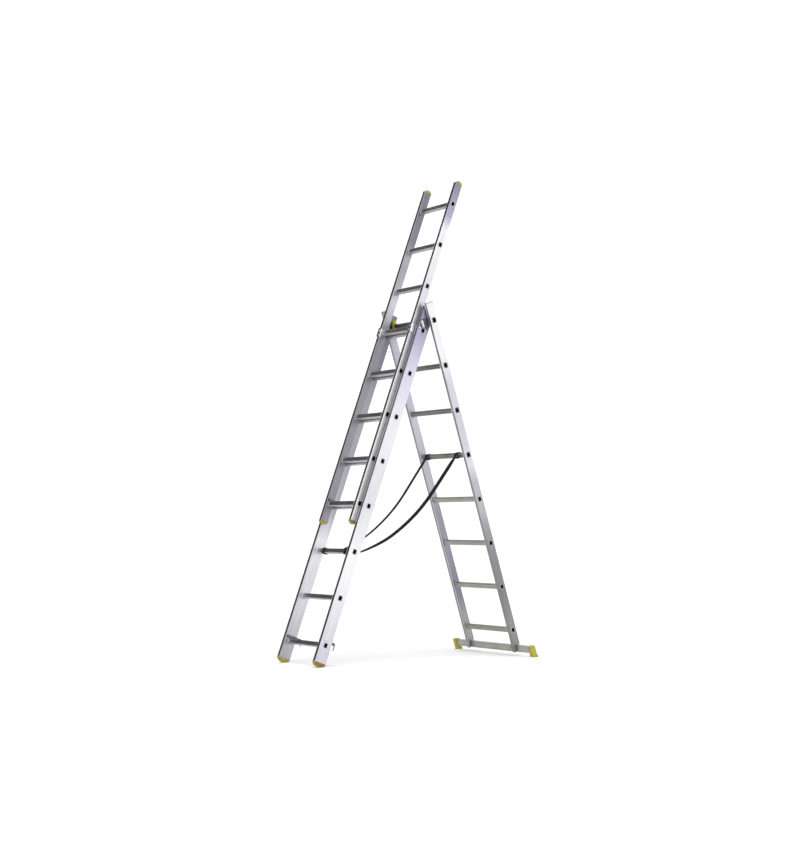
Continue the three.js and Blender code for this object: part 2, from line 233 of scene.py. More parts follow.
class Shape:
    """Closed shells: vertices in millimetres, faces, and the number of each face's material."""

    def __init__(self):
        self.verts, self.faces, self.paint = [], [], []

    def put(self, verts, faces, paint=0):
        """Adds a shell."""
        start = len(self.verts)
        self.verts += verts
        self.faces += [tuple(i + start for i in face) for face in faces]
        self.paint += [paint] * len(faces)
        return self

    def prism(self, outline, start, end, axis=side_axis, holes=()):
        """An outline, with holes in it, pushed from start to end along the axis."""
        loops = [list(outline)] + [list(hole) for hole in holes]
        flat = [p for loop in loops for p in loop]
        count = len(flat)
        verts = [axis(a, b, start) for a, b in flat] + [axis(a, b, end) for a, b in flat]
        faces = []
        for tri in tessellate_polygon([[Vector((a, b, 0)) for a, b in loop] for loop in loops]):
            faces.append(tuple(tri))
            faces.append(tuple(i + count for i in reversed(tri)))
        first = 0
        for loop in loops:
            size = len(loop)
            for i in range(size):
                a, b = first + i, first + (i + 1) % size
                faces.append((a, b, b + count, a + count))
            first += size
        return self.put(verts, faces)

    def rings(self, rings, paint=0, loop=False):
        """Skins rings of equal size, in order. The ends are closed, or with loop joined to each other."""
        size = len(rings[0])
        verts = [p for ring in rings for p in ring]
        faces = []
        for r in range(len(rings) if loop else len(rings) - 1):
            a, b = r * size, (r + 1) % len(rings) * size
            faces += [(a + i, a + (i + 1) % size, b + (i + 1) % size, b + i) for i in range(size)]
        if not loop:
            faces.append(tuple(range(size)))
            faces.append(tuple(range(len(verts) - size, len(verts))))
        return self.put(verts, faces, paint)

    def button(self, centre, normal, radius, height, sides=16, dome=0.35):
        """A fastener's head on a surface: six sides make a nut, more make a round head."""
        c, n = Vector(centre), Vector(normal).normalized()
        u = n.orthogonal().normalized()
        v = n.cross(u)
        steps = ((1, -0.2), (1, 1 - dome), (1 - dome * 0.3, 1 - dome * 0.3), (0.6, 1))
        rings = []
        for share, level in steps:
            ring = [c + (u * math.cos(a) + v * math.sin(a)) * radius * share + n * height * level
                    for a in (2 * math.pi * k / sides for k in range(sides))]
            rings.append([tuple(p) for p in ring])
        return self.rings(rings)


def apply_modifiers(obj):
    """Makes obj's modifiers part of its mesh."""
    bpy.context.view_layer.update()
    mesh = bpy.data.meshes.new_from_object(obj.evaluated_get(bpy.context.evaluated_depsgraph_get()))
    obj.modifiers.clear()
    obj.data = mesh


def shade(obj, sharp_from):
    """Shades obj smooth, but for edges sharper than sharp_from degrees."""
    obj.data.shade_smooth()
    obj.data.set_sharp_from_angle(angle=math.radians(sharp_from))


def bare_object(name, shape, side=1, materials=()):
    """The shape as an object in metres, mirrored where side is -1."""
    mesh = bpy.data.meshes.new(name)
    mesh.from_pydata([(x * side * MM, y * MM, z * MM) for x, y, z in shape.verts], [], shape.faces)
    mesh.polygons.foreach_set("material_index", shape.paint)
    edit = bmesh.new()
    edit.from_mesh(mesh)
    bmesh.ops.remove_doubles(edit, verts=edit.verts, dist=1e-7)
    bmesh.ops.recalc_face_normals(edit, faces=edit.faces)
    edit.to_mesh(mesh)
    edit.free()
    for material in materials:
        mesh.materials.append(material)
    return new_object(name, mesh)


def piece(name, shape, section, materials, slot, side=1, bevel=0.0, cutters=(), stands_for=None, angle=35):
    """A finished piece that rides on its section's body."""
    obj = bare_object(name, shape, side, materials)
    tools = [bare_object(name + "_cutter", cutter, side) for cutter in cutters]
    for tool in tools:
        cut = obj.modifiers.new("cut", "BOOLEAN")
        cut.operation = "DIFFERENCE"
        cut.solver = "EXACT"
        cut.object = tool
    if bevel:
        soften = obj.modifiers.new("soften", "BEVEL")
        soften.width = bevel * MM
        soften.segments = 2
        soften.limit_method = "ANGLE"
        soften.angle_limit = math.radians(40)
    if obj.modifiers:
        apply_modifiers(obj)
    for tool in tools:
        bpy.data.objects.remove(tool)
    shade(obj, angle)
    obj.matrix_world = section.matrix
    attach(obj, section.name)
    if stands_for:
        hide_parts(*stands_for)
    return obj


def on_both_sides(section, node, slot, *parts):
    """Pieces on the left and the right. The first part stands for the CAD node. A part is its name's last
    word, its shape and materials, and perhaps its bevel and cutters."""
    for name, side in SIDES:
        stands_for = [f"{node}_{name}"]
        for word, shape, materials, *rest in parts:
            piece(f"{node}_{name}_{word}", shape, section, materials, slot, side, *rest,
                  stands_for=stands_for)
            stands_for = None


# ---------- materials ----------
class Nodes:
    """The node tree of a material or world, built by short calls."""

    def __init__(self, owner):
        owner.use_nodes = True
        self.tree = owner.node_tree
        self.place = self.add("ShaderNodeTexCoord").outputs["Object"]

    def add(self, kind, **settings):
        node = self.tree.nodes.new(kind)
        for key, value in settings.items():
            setattr(node, key, value)
        return node

    def link(self, source, target):
        self.tree.links.new(source, target)

    def stretched(self, scale):
        mapping = self.add("ShaderNodeMapping")
        mapping.inputs["Scale"].default_value = scale
        self.link(self.place, mapping.inputs["Vector"])
        return mapping.outputs["Vector"]

    def noise(self, scale, detail=3.0, stretch=(1, 1, 1), roughness=0.5):
        node = self.add("ShaderNodeTexNoise")
        node.inputs["Scale"].default_value = scale
        node.inputs["Detail"].default_value = detail
        node.inputs["Roughness"].default_value = roughness
        self.link(self.stretched(stretch), node.inputs["Vector"])
        return node.outputs["Fac"]

    def ramp(self, source, stops):
        node = self.add("ShaderNodeValToRGB")
        while len(node.color_ramp.elements) < len(stops):
            node.color_ramp.elements.new(0.5)
        for element, (position, colour) in zip(node.color_ramp.elements, stops):
            element.position = position
            element.color = (*colour, 1)
        self.link(source, node.inputs["Fac"])
        return node.outputs["Color"]

    def fade(self, source, start, end, low=0, high=1):
        """Goes from one grey to another while the source goes from start to end."""
        return self.ramp(source, [(start, (low,) * 3), (end, (high,) * 3)])

    def mix(self, share, a, b, mode="MIX"):
        node = self.add("ShaderNodeMix", data_type="RGBA", blend_type=mode)
        for socket, value in ((node.inputs[0], share), (node.inputs[6], a), (node.inputs[7], b)):
            if isinstance(value, (int, float)):
                socket.default_value = value
            elif isinstance(value, tuple):
                socket.default_value = (*value, 1)
            else:
                self.link(value, socket)
        return node.outputs[2]

    def bump(self, height, distance, strength=0.5, under=None):
        node = self.add("ShaderNodeBump")
        node.inputs["Distance"].default_value = distance
        node.inputs["Strength"].default_value = strength
        self.link(height, node.inputs["Height"])
        if under:
            self.link(under, node.inputs["Normal"])
        return node.outputs["Normal"]


class Surface(Nodes):
    """A material's node tree."""

    def __init__(self, name):
        self.material = bpy.data.materials.new(name)
        super().__init__(self.material)

    def finish(self, colour, roughness, normal=None, **values):
        """Connects the shader and returns the material."""
        inputs = self.tree.nodes["Principled BSDF"].inputs
        self.link(colour, inputs["Base Color"])
        if normal:
            self.link(roughness, inputs["Roughness"])
            self.link(normal, inputs["Normal"])
        else:
            inputs["Roughness"].default_value = roughness
        for key, value in values.items():
            inputs[key.replace("_", " ")].default_value = value
        return self.material


def aluminium(name, light, dark, rough, along, painted_light_and_shade=()):
    """Extruded aluminium: fine die lines along one axis, cloudy oxide and a few scuffs. Light and shade may
    be painted along the stile as multipliers of its colour: painted_light_and_shade gives metres above the
    lowest rung, red, green and blue, from bottom to top."""
    n = Surface(name)

    def drawn_out(share):
        return tuple(share if i == along else 1 for i in range(3))

    def darker(share):
        return tuple(share * c for c in dark)

    lines = n.noise(900, 4, drawn_out(0.004), 0.65)
    cloud = n.noise(7, 4)
    scuff = n.fade(n.noise(160, 3, drawn_out(0.12)), 0.66, 0.74)
    base = n.mix(n.fade(cloud, 0.3, 0.7), dark, light)
    bands = n.noise(210, 2, drawn_out(0.015))
    base = n.mix(n.fade(lines, 0.35, 0.65, 0.5, 0), base, darker(0.86))
    base = n.mix(n.fade(bands, 0.42, 0.58, 0.3, 0), base, darker(0.74))
    base = n.mix(0.25, base, n.mix(scuff, base, darker(0.6)))
    # Painted light and shade: the colour is multiplied by a ramp over the height up the part.
    if painted_light_and_shade:
        low, high = -0.2, 2.3  # the ramp's ends, in metres above the lowest rung
        height = n.add("ShaderNodeMapRange")
        height.inputs["From Min"].default_value, height.inputs["From Max"].default_value = low, high
        split = n.add("ShaderNodeSeparateXYZ")
        n.link(n.place, split.inputs["Vector"])
        n.link(split.outputs["Z"], height.inputs["Value"])
        stops = [((z - low) / (high - low), colour) for z, *colour in painted_light_and_shade]
        tint = n.ramp(height.outputs["Result"], stops)
        base = n.mix(1.0, base, tint, "MULTIPLY")
    roughness = n.fade(lines, 0.2, 0.8, rough + 0.08, rough - 0.06)
    normal = n.bump(cloud, 0.0015, 0.12, n.bump(lines, 0.0002, 0.25))
    return n.finish(base, roughness, normal, Metallic=1.0)


def plated(name, light, dark, rough, grain):
    """Plated steel: a mottled crystalline tint and small scratches."""
    n = Surface(name)
    cells = n.add("ShaderNodeTexVoronoi")
    cells.inputs["Scale"].default_value = grain
    n.link(n.stretched((1, 1, 1)), cells.inputs["Vector"])
    patch = n.fade(cells.outputs["Distance"], 0.0, 0.6)
    scratch = n.noise(420, 3, (1, 1, 0.06))
    base = n.mix(patch, dark, light)
    base = n.mix(n.fade(scratch, 0.6, 0.75, 0, 0.5), base, light)
    roughness = n.fade(scratch, 0.3, 0.8, rough, rough + 0.14)
    return n.finish(base, roughness, n.bump(scratch, 0.0002, 0.2), Metallic=1.0)


def moulded(name, light, dark, rough, dirt=(0.16, 0.13, 0.06)):
    """Moulded plastic or rubber: a fine grain, uneven colour, and dirt in patches."""
    n = Surface(name)
    cloud = n.noise(28, 4)
    fine = n.noise(1500, 2)
    soil = n.noise(60, 5)
    base = n.mix(n.fade(cloud, 0.35, 0.68), dark, light)
    base = n.mix(n.fade(soil, 0.6, 0.82, 0, 0.55), base, dirt)
    roughness = n.fade(soil, 0.3, 0.8, rough, min(1, rough + 0.2))
    normal = n.bump(cloud, 0.0008, 0.2, n.bump(fine, 0.0004, 0.35))
    return n.finish(base, roughness, normal, Specular_IOR_Level=0.4)


def webbing(name):
    """Black polyester webbing: ribs across the width and a twill along it, from the strap's own UVs."""
    n = Surface(name)
    strap = n.add("ShaderNodeTexCoord").outputs["UV"]

    def wave(scale, bands, angle):
        turned = n.add("ShaderNodeMapping")
        turned.inputs["Rotation"].default_value = (0, 0, math.radians(angle))
        n.link(strap, turned.inputs["Vector"])
        node = n.add("ShaderNodeTexWave", bands_direction=bands)
        node.inputs["Scale"].default_value = scale
        node.inputs["Distortion"].default_value = 0.6
        n.link(turned.outputs["Vector"], node.inputs["Vector"])
        return node.outputs["Fac"]

    weft = wave(0.3, "Y", 0)
    twill = wave(0.22, "X", 35)
    fuzz = n.noise(900, 3)
    weave = n.mix(0.5, weft, twill)
    base = n.mix(n.fade(weave, 0.2, 0.9), (0.003, 0.003, 0.004), (0.016, 0.016, 0.018))
    base = n.mix(n.fade(fuzz, 0.55, 0.8, 0, 0.35), base, (0.04, 0.04, 0.042))
    return n.finish(base, n.fade(fuzz, 0.2, 0.8, 0.75, 0.95), n.bump(weave, 0.0005, 0.6),
                    Sheen_Weight=0.05, Sheen_Roughness=0.5, Specular_IOR_Level=0.2)


BRIGHT = ((0.96, 0.96, 0.98), (0.88, 0.88, 0.91))
# SHADED is a darker copy of the stile aluminium, painted shade for the inner webs.
SHADED = ((0.66, 0.655, 0.69), (0.56, 0.555, 0.59))
# The stops after each stile material paint light and shade along the stile: lighter where it is lit, darker
# where it is shaded.
BASE_OUTER = aluminium("base_stile_outer", *BRIGHT, 0.34, 2, [
    (-0.04, 0.72, 0.71, 0.76), (0.2, 0.9, 0.89, 0.9), (0.5, 1.03, 1.03, 1.0), (0.85, 0.83, 0.83, 0.85),
    (1.33, 1.0, 0.99, 1.0), (1.65, 0.84, 0.82, 0.92), (1.95, 0.52, 0.5, 0.64),
])
BASE_INNER = aluminium("base_stile_inner", *SHADED, 0.38, 2, [
    (-0.04, 0.82, 0.82, 0.82), (0.25, 1.2, 1.2, 1.2), (0.62, 1.42, 1.42, 1.4), (0.8, 0.85, 0.84, 0.88),
    (1.6, 0.75, 0.74, 0.77), (1.92, 0.4, 0.4, 0.44),
])
FLY_OUTER = aluminium("fly_stile_outer", *BRIGHT, 0.34, 2, [
    (1.1, 0.98, 0.98, 0.96), (1.35, 0.9, 0.89, 0.91), (1.6, 1.04, 1.04, 1.02), (1.78, 1.03, 1.03, 1.02),
    (1.88, 0.56, 0.55, 0.66), (2.1, 0.37, 0.36, 0.45),
])
FLY_INNER = aluminium("fly_stile_inner", *SHADED, 0.38, 2, [
    (0.0, 0.56, 0.56, 0.58), (0.9, 0.66, 0.66, 0.68), (1.05, 0.54, 0.54, 0.58), (1.33, 1.2, 1.2, 1.2),
    (1.45, 0.82, 0.82, 0.84), (1.63, 0.8, 0.79, 0.82), (1.75, 0.47, 0.47, 0.52), (2.05, 0.45, 0.45, 0.49),
])
REAR_OUTER = aluminium("rear_stile_outer", *BRIGHT, 0.36, 2, [
    (0.07, 0.32, 0.33, 0.3), (0.25, 0.285, 0.285, 0.28), (0.5, 0.32, 0.33, 0.34), (0.62, 0.39, 0.39, 0.4),
    (0.77, 0.56, 0.56, 0.58), (0.95, 0.58, 0.58, 0.6), (1.05, 0.88, 0.88, 0.89), (1.2, 0.76, 0.75, 0.78),
    (1.6, 0.82, 0.81, 0.85), (1.75, 1.03, 1.03, 1.02),
])
REAR_INNER = aluminium("rear_stile_inner", *SHADED, 0.38, 2, [
    (0.07, 0.62, 0.62, 0.58), (0.2, 0.43, 0.43, 0.46), (0.5, 0.52, 0.53, 0.58), (0.77, 0.6, 0.59, 0.65),
    (0.92, 0.85, 0.84, 0.88), (1.4, 1.03, 1.02, 1.06), (1.85, 0.95, 0.94, 0.98), (2.0, 0.5, 0.5, 0.5),
])
PLAIN = aluminium("stile_plain", (0.70, 0.70, 0.73), (0.60, 0.60, 0.63), 0.36, 2)
# Dark strips of painted shade on the stiles' front flanges, between their grooves; the rear section's is
# lighter.
PAINTED_FRONT_SHADE = aluminium("stile_front_recess", (0.15, 0.148, 0.15), (0.11, 0.108, 0.11), 0.45, 2)
PAINTED_REAR_FRONT_SHADE = aluminium("rear_stile_front_recess", (0.34, 0.335, 0.34), (0.26, 0.255, 0.26), 0.42, 2)
RUNG = aluminium("rung_aluminium", (0.70, 0.69, 0.70), (0.52, 0.515, 0.52), 0.36, 0)
# The rear rungs' stops paint shade on the rungs above 1.1 m and light on those below 0.9 m.
REAR_RUNG = aluminium("rear_rung_aluminium", (0.54, 0.54, 0.50), (0.40, 0.40, 0.37), 0.36, 0, [
    (0.9, 1.1, 1.1, 1.05), (1.1, 0.62, 0.61, 0.6),
])
GROOVE = aluminium("rung_groove", (0.16, 0.155, 0.16), (0.10, 0.095, 0.10), 0.5, 0)
# Near-black painted shade for the inside of the rungs' tubes.
BORE_SHADE = aluminium("rung_bore", (0.05, 0.045, 0.045), (0.03, 0.028, 0.028), 0.6, 0)
BAR = aluminium("bar_aluminium", (0.56, 0.565, 0.51), (0.44, 0.445, 0.41), 0.38, 0)
ZINC = plated("blue_zinc_steel", (0.11, 0.125, 0.155), (0.05, 0.058, 0.078), 0.24, 260)
CHROME = plated("bright_plated_steel", (0.92, 0.93, 0.95), (0.84, 0.85, 0.88), 0.1, 180)
DARK_STEEL = plated("dark_fastener", (0.20, 0.20, 0.21), (0.10, 0.10, 0.11), 0.34, 400)
OLIVE = moulded("olive_plastic", (0.42, 0.35, 0.09), (0.29, 0.24, 0.06), 0.45)
GREY = moulded("grey_plastic", (0.36, 0.36, 0.38), (0.26, 0.26, 0.28), 0.5, dirt=(0.12, 0.12, 0.12))
AMBER = moulded("amber_plastic", (0.36, 0.20, 0.05), (0.20, 0.11, 0.03), 0.5)
YELLOW = moulded("yellow_rubber", (0.50, 0.45, 0.05), (0.36, 0.32, 0.035), 0.5)
WEBBING = webbing("black_webbing")
THREAD = moulded("stitch_thread", (0.10, 0.10, 0.11), (0.06, 0.06, 0.07), 0.7)


# ---------- the straps between the legs ----------
STRAP_ORIGIN = Section.middle("base_rung_1")
# each point is its share of the way across from the base end to the rear end, then y and z in metres
STRAP_ROUTE = (
    (0, 0.214, 0.5185), (0.06, 0.250, 0.515), (0.13, 0.300, 0.525), (0.21, 0.364, 0.547),
    (0.29, 0.428, 0.573), (0.37, 0.492, 0.605), (0.45, 0.560, 0.648), (0.54, 0.628, 0.698),
    (0.63, 0.694, 0.754), (0.71, 0.756, 0.816), (0.79, 0.814, 0.884), (0.87, 0.868, 0.952),
    (0.93, 0.920, 1.018), (0.97, 0.954, 1.062), (1, 0.976, 1.090),
)
STRAP_ENDS = {"right": (0.126, 0.135), "left": (-0.104, -0.165)}
STRAP_TWIST = {"right": -28, "left": -4}
STRAP_WIDTH = 0.025
STRAP_THICK = 0.0018
TAIL = 0.062  # the sewn-down end
STRAP_CLEAR = 1.3  # in millimetres, between a rung and its loop


def smooth_line(points, per_span):
    """A Catmull-Rom line through the points."""
    out = []
    for i in range(len(points) - 1):
        p0, p1, p2, p3 = (points[min(max(k, 0), len(points) - 1)] for k in (i - 1, i, i + 1, i + 2))
        for k in range(per_span):
            t = k / per_span
            out.append(0.5 * (2 * p1 + (p2 - p0) * t + (2 * p0 - 5 * p1 + 4 * p2 - p3) * t * t
                              + (3 * p1 - p0 - 3 * p2 + p3) * t ** 3))
    out.append(points[-1])
    return out


def smooth_step(t):
    """Rises gently from 0 to 1."""
    t = min(1, max(0, t))
    return t * t * (3 - 2 * t)


def strap_line(side):
    """The strap's middle line, from the base section to the rear one."""
    start, end = STRAP_ENDS[side]
    route = [STRAP_ORIGIN + Vector((start + (end - start) * t, y, z)) for t, y, z in STRAP_ROUTE]
    return smooth_line(route, 6)


def line_length(line):
    return sum((b - a).length for a, b in zip(line, line[1:]))


def ribbon_rings(line, width, thick, lift=0.0, twist=0.0):
    """Flat webbing along a line, with rounded edges and a slightly crowned face. Between its ends it turns
    about its own line by up to twist degrees."""
    section = [(-0.5, 0), (-0.47, 0.5), (-0.25, 0.42), (0, 0.5), (0.25, 0.42), (0.47, 0.5),
               (0.5, 0), (0.47, -0.5), (0.25, -0.42), (0, -0.5), (-0.25, -0.42), (-0.47, -0.5)]
    rings = []
    for i, p in enumerate(line):
        along = (line[min(i + 1, len(line) - 1)] - line[max(i - 1, 0)]).normalized()
        across = (ACROSS - along * ACROSS.dot(along)).normalized()
        out = across.cross(along)
        share = i / (len(line) - 1)
        turn = math.radians(twist) * smooth_step(share / 0.34) * smooth_step((1 - share) / 0.12)
        c, s = math.cos(turn), math.sin(turn)
        across, out = across * c + out * s, out * c - across * s
        rings.append([p + across * width * a + out * (thick * b + lift) for a, b in section])
    return rings


def strap_piece(name, rings_sets, paints, materials):
    """Closed skins over sets of rings given in metres, each with its material's number."""
    shape = Shape()
    for rings, paint in zip(rings_sets, paints):
        shape.rings([[tuple(p / MM) for p in ring] for ring in rings], paint)
    obj = bare_object(name, shape, materials=materials)
    shade(obj, 50)
    return obj


def add_uv(obj, line):
    """UVs in millimetres: across the webbing, and along its line."""
    reach = [0.0]
    for a, b in zip(line, line[1:]):
        reach.append(reach[-1] + (b - a).length)
    layer = obj.data.uv_layers.new(name="webbing")
    middle = sum((v.co.x for v in obj.data.vertices), 0.0) / len(obj.data.vertices)
    spots = {}
    for loop in obj.data.loops:
        index = loop.vertex_index
        if index not in spots:
            co = obj.data.vertices[index].co
            nearest = min(range(len(line)), key=lambda k: (line[k] - co).length_squared)
            spots[index] = ((co.x - middle) / MM, reach[nearest] / MM)
        layer.data[loop.index].uv = spots[index]


def loop_rings(section, rung_number, junction):
    """Webbing round a rung, closed where the strap leaves it."""
    outline = rung_outline(STRAP_CLEAR, (rung_number - 1) * section.pitch, steps=4)
    spots = [section.matrix @ (Vector((0, y, z)) * MM) for y, z in outline] + [junction]
    closed = hull([(p.y, p.z) for p in spots])
    slack = 0.0001
    inner, outer = offset(closed, slack), offset(closed, slack + STRAP_THICK)
    w = STRAP_WIDTH / 2
    rings = []
    for (iy, iz), (oy, oz) in zip(inner, outer):
        rings.append([Vector((junction.x + x, y, z)) for x, y, z in
                      ((-w, iy, iz), (w, iy, iz), (w, oy, oz), (0, oy, oz), (-w, oy, oz))])
    return rings


def stitch_rings(line, lift):
    """Rows of short thread stitches across a sewn overlap."""
    stitches = []
    rows, per_row = 7, 6
    length, size = 0.0016, 0.0005
    profile = ((-1, 0.3), (-0.6, 1), (0.6, 1), (1, 0.3))
    angles = [2 * math.pi * k / 6 for k in range(6)]
    for row in range(rows):
        spot = 1 + row * (len(line) - 3) // (rows - 1)
        p = line[spot]
        along = (line[spot + 1] - p).normalized()
        out = ACROSS.cross(along)
        for k in range(per_row):
            x = STRAP_WIDTH * (-0.4 + 0.8 * k / (per_row - 1))
            centre = p + ACROSS * x + out * lift
            stitches.append([
                [centre + along * length * s + (ACROSS * math.cos(a) + out * math.sin(a)) * size * r
                 for a in angles] for s, r in profile
            ])
    return stitches


def strap_end(name, section, rung_number, line):
    """The loop round the rung, the sewn-down tail and its stitching."""
    tail = line[:2]
    while line_length(tail) <= TAIL:
        tail.append(line[len(tail)])
    sets = [ribbon_rings(tail, STRAP_WIDTH, STRAP_THICK, lift=STRAP_THICK * 1.05)]
    for level in (1.62, -0.55):
        sets += stitch_rings(tail, STRAP_THICK * level)
    paints = [0] + [1] * (len(sets) - 1)
    obj = strap_piece(name, sets, paints, (WEBBING, THREAD))
    loop = loop_rings(section, rung_number, line[0])
    shape = Shape().rings([[tuple(p / MM) for p in ring] for ring in loop], 0, loop=True)
    extra = bare_object(name + "_loop", shape, materials=(WEBBING,))
    edit = bmesh.new()
    edit.from_mesh(obj.data)
    edit.from_mesh(extra.data)
    edit.to_mesh(obj.data)
    edit.free()
    bpy.data.objects.remove(extra)
    shade(obj, 50)
    add_uv(obj, tail)
    return obj


def straps():
    for side, _ in SIDES:
        line = strap_line(side)
        rings = ribbon_rings(line, STRAP_WIDTH, STRAP_THICK, twist=STRAP_TWIST[side])
        obj = strap_piece(f"check_strap_{side}", [rings], [0], (WEBBING,))
        add_uv(obj, line)
        ends = [
            strap_end(f"strap_base_loop_{side}", BASE, 3, line),
            strap_end(f"strap_rear_loop_{side}", REAR, 5, line[::-1]),
        ]
        for soft in (obj, *ends):
            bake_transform(soft)
        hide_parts(f"strap_{side}")


straps()


# ---------- stiles ----------
FLANGE_GROOVE_INSET = 4.5  # from a flange's edge to its outer groove


def grooved_edge(start, end, grooves, width=1.1, depth=0.6):
    """Points from start to end with grooves at these distances along, cut into the solid on the left."""
    a, b = Vector(start), Vector(end)
    along = (b - a).normalized()
    inward = Vector((-along.y, along.x))
    points = []
    for distance in grooves:
        for step, sink in ((-0.8, 0), (-0.4, 1), (0.4, 1), (0.8, 0)):
            p = a + along * (distance + step * width) + inward * sink * depth
            points.append((p.x, p.y))
    return points


def grooved_outline(corners, grooves, radius, width=1.1, depth=0.6):
    """An extrusion's outline: round corners, and grooves at these distances along each of its sides."""
    outline = []
    for i, places in enumerate(grooves):
        before, corner, after = (Vector(corners[k % 4]) for k in (i - 1, i, i + 1))
        outline += [tuple(p) for p in bend(before, corner, after, radius)]
        outline += grooved_edge(corner, after, places, width, depth)
    return outline


def stile_outline(section):
    """Plan of a stile, with fine grooves along every face."""
    x0, x1, y = section.inner, section.outer, section.half
    web, flange = 2 * y, x1 - x0
    middle_grooves = (web / 2 - 17.5, web / 2 + 17.5) if section is BASE else ()
    web_grooves = (5, 7.6, *middle_grooves, web - 7.6, web - 5)
    flange_grooves = (FLANGE_GROOVE_INSET, flange - FLANGE_GROOVE_INSET)
    return grooved_outline(rectangle(x0, -y, x1, y), (flange_grooves, web_grooves) * 2, 2.6)


def base_notch():
    """The rear section's top rung lies and turns in this notch."""
    front, back = 8, BASE.half + PAST
    shelf = BASE.top_rung + 106
    outline = [(back, shelf), (front, shelf), (front, HINGE + SWEEP)]
    outline += arc(0, HINGE, SWEEP, 77, 9, 14)
    outline.append((back, HINGE + 6))
    return outline


def rear_foot_cut():
    """Leaves a tongue of the stile in front of the stabiliser's bar."""
    low, high = REAR.box("stabiliser_bar")
    seat = high.z + GAP
    back = REAR.half + PAST
    below = REAR.bottom - PAST
    return [(low.y - GAP, seat), (back, seat), (back, below), (-REAR.half * 2 / 3, below)]


def stiles(section, materials, cuts=()):
    """Both stiles, with holes for the rungs. The right stile's outer web has light and shade painted along it
    and the left one's is plain; the inner webs take a darker copy with painted shade, the front flanges a
    dark strip of painted shade between their grooves, and the rears are plain.
    """
    x0, x1, y = section.inner + WALL, section.outer - WALL, section.half - WALL
    bore = rounded(rectangle(x0, -y, x1, y), 0.8)
    shape = Shape().prism(stile_outline(section), section.bottom, section.top, plan_axis, [bore])
    inner_web, front = section.inner + 1, 1 - section.half
    shade_strip = (section.inner + FLANGE_GROOVE_INSET, section.outer - FLANGE_GROOVE_INSET)
    for i, face in enumerate(shape.faces):
        corners = [shape.verts[v] for v in face]
        # Paint 1: the inner web, in the darker copy that paints shade.
        if all(x < inner_web for x, y, z in corners):
            shape.paint[i] = 1
        # Paint 2: a dark strip of painted shade on the front flange, between its grooves.
        elif all(y < front and shade_strip[0] < x < shade_strip[1] for x, y, z in corners):
            shape.paint[i] = 2
        elif all(y > -front for x, y, z in corners):
            shape.paint[i] = 3
    across = (section.inner - PAST, section.outer + PAST)
    holes = Shape()
    for i in range(RUNG_COUNT):
        holes.prism(rung_outline(GAP, i * section.pitch), *across)
    cutters = [Shape().prism(outline, *across) for outline in cuts] + [holes]
    outer, inner, front_shade_material = materials
    for name, side in SIDES:
        paints = (outer if side > 0 else PLAIN, inner, front_shade_material, PLAIN)
        piece(f"{section.name}_stile_{name}_extrusion", shape, section, paints, "stile_aluminium", side,
              cutters=cutters, stands_for=[f"{section.name}_stile_{name}"], angle=28)


stiles(BASE, (BASE_OUTER, BASE_INNER, PAINTED_FRONT_SHADE), [base_notch()])
stiles(FLY, (FLY_OUTER, FLY_INNER, PAINTED_FRONT_SHADE))
stiles(REAR, (REAR_OUTER, REAR_INNER, PAINTED_REAR_FRONT_SHADE), [rear_foot_cut()])


# ---------- rungs ----------
def rung_ring(x, grow, rib):
    """The rung's section at x: grow moves it outwards, rib is the depth of its tread grooves."""
    ring = []
    for turn in range(4):
        c, s = ((1, 0), (0, 1), (-1, 0), (0, -1))[turn]
        out, along = (RUNG_DEEP, RUNG_TALL) if turn % 2 == 0 else (RUNG_TALL, RUNG_DEEP)
        flat = along - RUNG_BEVEL
        face = []
        for share in (-0.75, -0.25, 0.25, 0.75):
            for step, sink in ((-1.1, 0), (-0.65, 1), (0.65, 1), (1.1, 0)):
                face.append((out + grow - sink * rib, share * flat + step))
        for k in range(5):
            angle = math.radians(90 * k / 4)
            reach = RUNG_BEVEL + grow
            face.append((out - RUNG_BEVEL + reach * math.cos(angle), flat + reach * math.sin(angle)))
        ring += [(x, a * c - b * s, a * s + b * c) for a, b in face]
    return ring


def rung_shape(section):
    """A ribbed rung with swaged beads inside the stiles and flared ends outside them; the inside of the
    hollow tube is painted near black as shade.
    """
    inner, outer = section.inner, section.outer
    end = outer + 1.5
    # x, growth and depth of the grooves, from the rung's right end inwards
    profile = [
        (end - 2.5, -2.4, 0), (end - 0.5, -2.2, 0), (end + 0.1, -1.2, 0), (end + 0.2, 0.5, 0),
        (end - 0.2, 1.8, 0), (outer + 0.3, 2.2, 0), (outer + 0.2, 0, 0), (inner - 0.3, 0, 0),
        (inner - 0.5, 1.5, 0), (inner - 1.6, 2.3, 0.2), (inner - 3.2, 2.2, 0.3), (inner - 4.8, 1.2, 0.5),
        (inner - 6.4, 0.2, 0.9), (inner - 9, 0, 0.9),
    ]
    stations = profile + [(-x, grow, rib) for x, grow, rib in reversed(profile)]
    rings = [rung_ring(*station) for station in stations]
    shape = Shape().rings(rings, loop=True)
    size = len(rings[0])
    last = len(rings) - 1
    # The inside of the tube, seen at its open ends, is painted near black as shade.
    for station in (0, last - 1, last):
        for face in range(station * size, (station + 1) * size):
            shape.paint[face] = 2
    per_side = size // 4
    for station in range(len(profile) - 2, len(profile) + 1):
        for turn in range(4):
            for groove in range(4):
                shape.paint[station * size + turn * per_side + groove * 4 + 1] = 1
    return shape


def rungs(section, material):
    """The section's eight rungs, one pitch apart."""
    shape = rung_shape(section)
    for i in range(RUNG_COUNT):
        lifted = Shape()
        lifted.verts = [(x, y, z + i * section.pitch) for x, y, z in shape.verts]
        lifted.faces, lifted.paint = shape.faces, shape.paint
        name = f"{section.name}_rung_{i + 1}"
        piece(name + "_ribbed", lifted, section, (material, GROOVE, BORE_SHADE), "rung_aluminium",
              stands_for=[name], angle=40)


